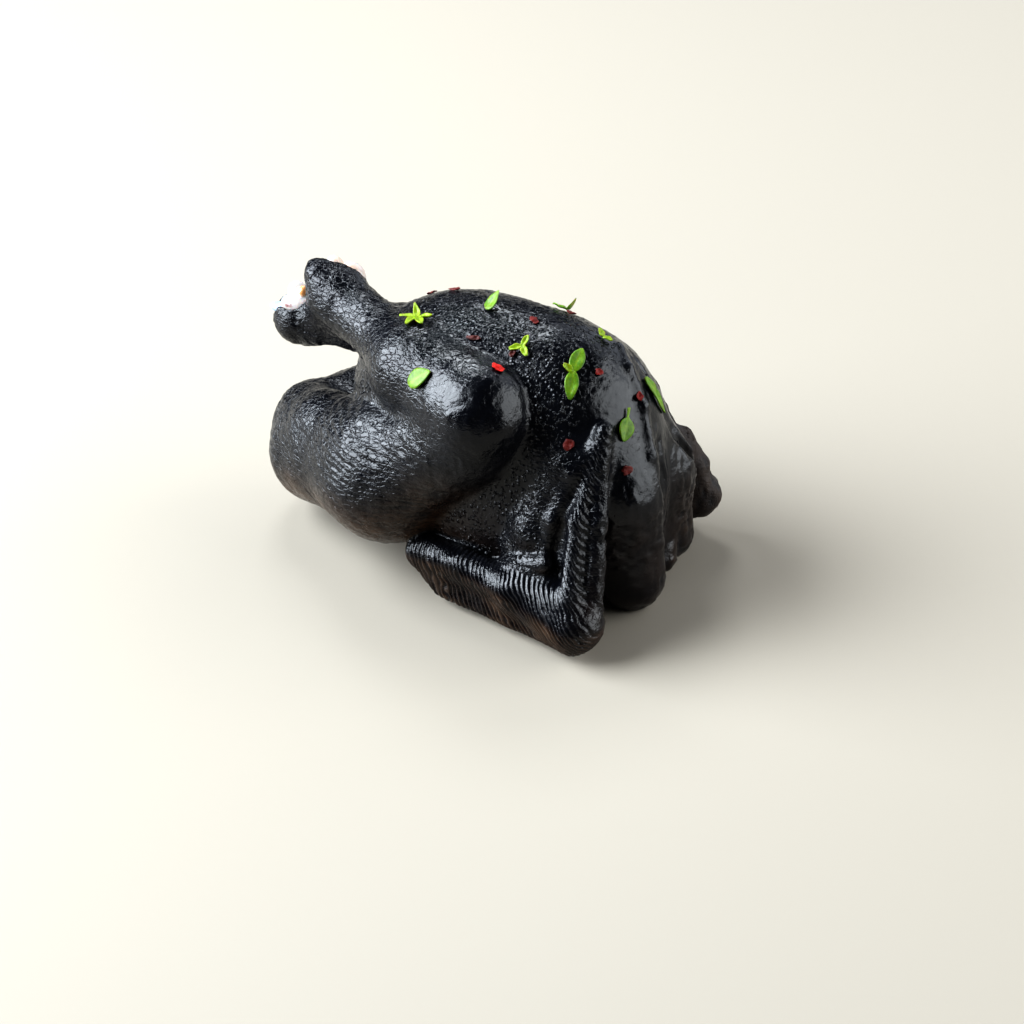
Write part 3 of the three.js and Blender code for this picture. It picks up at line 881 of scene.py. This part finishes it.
def make_joints():
    """The white cartilage of both drumsticks' ends"""
    material = cartilage_material()
    near = joint_shape(NEAR_JOINT)
    low, high = [-110, -4, 94], [-87, 18, 116]
    points, faces = cartilage_mesh(near, low, high, cell=1.2, edge=0.9, lump=3, seed=41)
    none = np.zeros(len(points))
    rosy = 0.35 * smooth(-0.2, 0.6, noise(points, 4, 42))
    tones = {"bluish": none, "cream": rosy, "marrow": none}
    add_piece("near_cartilage", points, faces, material, ["joint_near"], tones)

    far = joint_shape(FAR_JOINT)
    low, high = [-137, -8, 82], [-112, 14, 102]
    points, faces = cartilage_mesh(far, low, high, cell=1.0, edge=0.7, lump=2.5, seed=43)
    to_marrow = np.linalg.norm((points - [-122, -2.5, 92.5]) / [3.4, 3, 1.8], axis=1)
    to_cream = np.linalg.norm((points - [-119.5, 3, 97]) / [2.5, 3, 3], axis=1)
    tones = {
        "bluish": smooth(-125, -128, points[:, 0]),
        "cream": smooth(1.2, 0.8, to_cream),
        "marrow": smooth(1.15, 0.85, to_marrow),
    }
    add_piece("far_cartilage", points, faces, material, ["joint_far"], tones)


# Leaves

def strip_faces(steps, rows):
    """Triangles of a thin closed strip: points of its lower side come first, then those of its upper side"""
    count = (steps + 1) * rows
    grid = np.arange(count).reshape(steps + 1, rows)
    corners = (grid[:-1, :-1], grid[1:, :-1], grid[1:, 1:], grid[:-1, 1:])
    lower = np.stack(corners, axis=-1).reshape(-1, 4)
    rim = np.concatenate([grid[:, 0], grid[-1, 1:], grid[-2::-1, -1], grid[0, -2:0:-1]])
    after = np.roll(rim, -1)
    side = np.stack([rim, after, after + count, rim + count], axis=1)
    quads = np.concatenate([lower[:, ::-1], lower + count, side])
    return np.concatenate([quads[:, [0, 1, 2]], quads[:, [0, 2, 3]]])


def blade(base, tip, width, lift=0, stalk=0):
    """A leaf along the skin with a sunken midrib and side veins: points, faces and tones"""
    steps, rows = 22, 9
    half_stalk = 0.45
    widest_young = 3.7
    start = to_surface(bird, np.array([base], float))
    up = unit(gradient(bird, start))[0]
    along = np.array(tip, float) - start[0]
    length = np.linalg.norm(along)
    along = unit(along - up * (along @ up))
    across = np.cross(up, along)
    u, v = np.meshgrid(np.linspace(0, 1, steps + 1), np.linspace(-1, 1, rows), indexing="ij")
    u, v = u.ravel(), v.ravel()
    part = np.clip((u - stalk) / (1 - stalk), 0, 1)
    half = half_stalk + (width / 2 - half_stalk) * np.sin(math.pi * part ** 0.8) ** 0.8
    place = start + np.outer(u * (length - lift * 0.4), along) + np.outer(half * v, across)
    wave = 0.5 * np.abs(v) * np.sin(math.pi * part) + 0.15 * np.sin(9 * u + 2 * v) + 0.15
    between_veins = np.abs(np.sin(8 * math.pi * (u - 0.22 * np.abs(v))))
    upper_relief = 0.06 * between_veins * (part > 0) - 0.12 * np.exp(-(v / 0.16) ** 2)
    height = LEAF_GAP + lift * u * u + wave
    lower = to_surface(bird, place, height)
    upper = to_surface(bird, place, height + LEAF_THICKNESS + upper_relief)
    points = np.concatenate([lower, upper])
    vein = np.exp(-(v / 0.14) ** 2) + 0.5 * (between_veins < 0.3)
    vein = np.maximum(np.clip(vein, 0, 1), part <= 0)
    young = np.full(len(points), float(width < widest_young))
    return points, strip_faces(steps, rows), np.stack([np.concatenate([vein, vein]), young], axis=1)


# Each sprig is a list of blades, from base to tip, with width, lift of the tip and length of stalk
SPRIGS = {
    "leaf_breast_top": [([-21.5, -5, 116], [-17, 2, 116], 6, 6)],
    "sprig_drumstick": [
        ([-46, -19, 111], [-53, -21, 111], 3.4, 1),
        ([-46, -19, 111], [-40, -15, 112], 3.4, 1),
        ([-46, -19, 111], [-50, -12, 111], 3.2, 4),
        ([-46, -19, 111], [-45, -27, 109], 3.4, 0.5),
        ([-46, -19, 111], [-40, -25, 110], 3.6, 0.5),
    ],
    "leaf_drumstick": [([-31, -47, 100], [-22, -43, 107], 8)],
    "sprig_breast_side": [
        ([3.5, -17, 113], [-0.5, -20, 112], 2.6, 0.6),
        ([3.5, -17, 113], [4, -12, 114], 2.6, 1.5),
        ([3.5, -17, 113], [7.5, -20, 111], 2.8, 0.6),
    ],
    "leaf_pair_breast": [
        ([1, 20, 110], [-6, 20, 110], 4, 0.5),
        ([1, 20, 110], [5, 21, 110], 4.6, 5),
    ],
    "sprig_breast_front": [
        ([25.5, 9, 110], [22, 11.5, 111], 2.6, 1),
        ([25.5, 9, 110], [29, 10, 108], 2.6, 0.8),
    ],
    "sprig_crop": [
        ([26.5, -15.5, 106], [24.5, -5, 111], 6),
        ([26.5, -15.5, 106], [30, -24, 98], 5.6),
        ([26.5, -15.5, 106], [22, -16, 108], 2.6, 1.5),
    ],
    "leaf_crop": [([46, -6, 90], [48, -15, 79.5], 6.8, 0, 0.3)],
    "leaf_neck": [([43, 13, 94], [50, 19, 77], 7)],
}


def joined(parts):
    """One mesh from several, each points, faces and one or more values for each point"""
    shift = np.cumsum([0] + [len(points) for points, _, _ in parts])
    return (
        np.concatenate([points for points, _, _ in parts]),
        np.concatenate([faces + start for (_, faces, _), start in zip(parts, shift)]),
        np.concatenate([values for _, _, values in parts]),
    )


def make_leaves():
    material = leaf_material()
    for node, blades in SPRIGS.items():
        points, faces, values = joined([blade(*one) for one in blades])
        tones = {"vein": 0.6 * values[:, 0], "young": values[:, 1]}
        add_piece(node + "_blades", points, faces, material, [node], tones)


# Chilli flakes: a point on the skin, length, width, turn in degrees and brightness
FLAKES = [
    [[-60, 12, 108], 5, 3.5, 20, 0.1],
    [[-46, 9, 113], 6, 3.5, 0, 0.1],
    [[-18, -19, 111], 7.5, 2.5, 15, 0],
    [[2, -32, 109], 7, 4.6, 10, 1],
    [[0, -2, 116], 5.5, 4, -20, 0.15],
    [[5, 18, 111], 5, 5, 60, 0.1],
    [[1, -20, 110], 5, 3, 80, 0],
    [[34, -8, 104], 4, 3.5, 30, 0.25],
    [[33, -31, 82], 6, 5.5, 70, 0.1],
    [[46, 2, 91], 4.5, 3.5, -40, 0.25],
    [[52, -18, 69], 6, 4.5, 70, 0.1],
]


def chip_faces(rings, sides):
    """Triangles of a round chip: rings of points from the middle out, first on its upper side"""
    faces = []
    half = (rings + 1) * sides
    for base, flip in ((0, False), (half, True)):
        fan = [(base, base + k, base + k + 1) for k in range(1, sides - 1)]
        for ring in range(rings):
            for k in range(sides):
                a = base + ring * sides + k
                b = base + ring * sides + (k + 1) % sides
                fan += [(a, a + sides, b + sides), (a, b + sides, b)]
        faces += [face[::-1] for face in fan] if flip else fan
    for k in range(sides):
        a = rings * sides + k
        b = rings * sides + (k + 1) % sides
        faces += [(a, a + half, b + half), (a, b + half, b)]
    return np.array(faces)


def flake(number, at, length, width, turn, bright):
    """A thin bent chip with an uneven outline: points, faces and brightness"""
    rings, sides = 7, 30
    centre = to_surface(bird, np.array([at], float), FLAKE_HEIGHT)
    up = unit(gradient(bird, centre))[0]
    along = np.array([math.cos(math.radians(turn)), math.sin(math.radians(turn)), 0])
    along = unit(along - up * (along @ up))
    across = np.cross(up, along)
    angle = np.arange(sides) * 2 * math.pi / sides
    circle = np.stack([np.cos(angle), np.sin(angle), 0 * angle], axis=1)
    outline = 0.84 + 0.22 * noise(circle + number * 7.3, 0.7, 50)
    outline += 0.12 * noise(circle + number * 3.1, 0.3, 52)
    points = []
    for side in (1, -1):
        for ring in range(rings + 1):
            reach = min((ring + 0.5) / rings, 1)
            x = length / 2 * reach * outline * circle[:, 0]
            y = width / 2 * reach * outline * circle[:, 1]
            thick = side * FLAKE_THICKNESS / 2 * math.sqrt(1 - min(reach, 0.999) ** 4)
            place = np.stack([x, y, 0 * x + number], axis=1)
            bend = 0.3 * (y / width * 2) ** 2 + 0.45 * noise(place, 1.3, 51)
            height = thick + bend
            points.append(centre + np.outer(x, along) + np.outer(y, across) + np.outer(height, up))
    points = np.concatenate(points)
    return points, chip_faces(rings, sides), np.full(len(points), float(bright))


def make_flakes():
    parts = [flake(number, *one) for number, one in enumerate(FLAKES)]
    points, faces, bright = joined(parts)
    add_piece("chilli_flakes", points, faces, flake_material(), ["chicken"], {"bright": bright})


# Camera, floor and light

def make_camera():
    """Stands the camera where the shapes' origin falls on its pixel"""
    a, e, roll = (math.radians(angle) for angle in (AZIMUTH, ELEVATION, ROLL))
    level = np.array([math.cos(a), math.sin(a), 0])
    down = np.array([math.sin(a) * math.sin(e), -math.cos(a) * math.sin(e), -math.cos(e)])
    ahead = np.array([-math.sin(a) * math.cos(e), math.cos(a) * math.cos(e), -math.sin(e)])
    right = level * math.cos(roll) + down * math.sin(roll)
    below = down * math.cos(roll) - level * math.sin(roll)
    offset = (np.array(ORIGIN_PIXEL) - FRAME_PIXELS / 2) / FOCAL_PIXELS * DISTANCE
    place = CENTRE_SHIFT - right * offset[0] - below * offset[1] - ahead * DISTANCE
    camera = bpy.data.objects.new("camera", bpy.data.cameras.new("camera"))
    bpy.context.scene.collection.objects.link(camera)
    camera.data.sensor_width = SENSOR
    camera.data.lens = FOCAL_PIXELS / FRAME_PIXELS * SENSOR
    camera.data.clip_end = 50
    axes = Matrix([right, -below, -ahead]).transposed().to_4x4()
    camera.matrix_world = Matrix.Translation(Vector(place * MM)) @ axes
    bpy.context.scene.camera = camera


def make_floor():
    """A wide flat square, a hair below the bird so that the two don't coincide"""
    half = 6
    low = -0.0002
    corners = [(-half, -half, low), (half, -half, low), (half, half, low), (-half, half, low)]
    mesh = bpy.data.meshes.new("floor")
    mesh.from_pydata(corners, [], [(0, 1, 2, 3)])
    mesh.materials.append(floor_material())
    floor = bpy.data.objects.new("floor", mesh)
    bpy.context.scene.collection.objects.link(floor)


def area_light(name, place, size, power, colour):
    """A square soft light that faces the object, in metres and watts"""
    aim = Vector((0, 0, 0.05))
    light = bpy.data.lights.new(name, "AREA")
    light.size = size
    light.energy = power
    light.color = colour
    lamp = bpy.data.objects.new(name, light)
    bpy.context.scene.collection.objects.link(lamp)
    lamp.location = place
    lamp.rotation_euler = (aim - Vector(place)).to_track_quat("-Z", "Y").to_euler()


def make_lights():
    """A large soft window at the left, weaker lights behind, a wall's light at the right, and a dim world"""
    area_light("window", (-1.12, -0.62, 0.88), size=1.45, power=90, colour=(0.86, 0.93, 1.0))
    area_light("skylight", (-0.6, 0.7, 1.08), size=0.45, power=7, colour=(0.9, 0.95, 1.0))
    area_light("backdrop", (0.15, 1.5, 0.8), size=1.4, power=8, colour=(0.84, 0.9, 1.0))
    area_light("right_wall", (1.35, 0.65, 0.44), size=1.8, power=42, colour=(0.93, 0.97, 1.0))
    world = bpy.data.worlds.new("studio")
    world.use_nodes = True
    background = world.node_tree.nodes["Background"]
    background.inputs["Color"].default_value = (0.9, 0.95, 1.0, 1)
    background.inputs["Strength"].default_value = 0.03
    bpy.context.scene.world = world
    bpy.context.scene.view_settings.view_transform = "Standard"
    bpy.context.scene.view_settings.look = "High Contrast"


make_camera()
make_floor()
make_lights()
make_skin()
make_joints()
make_leaves()
make_flakes()

bpy.context.view_layer.update()
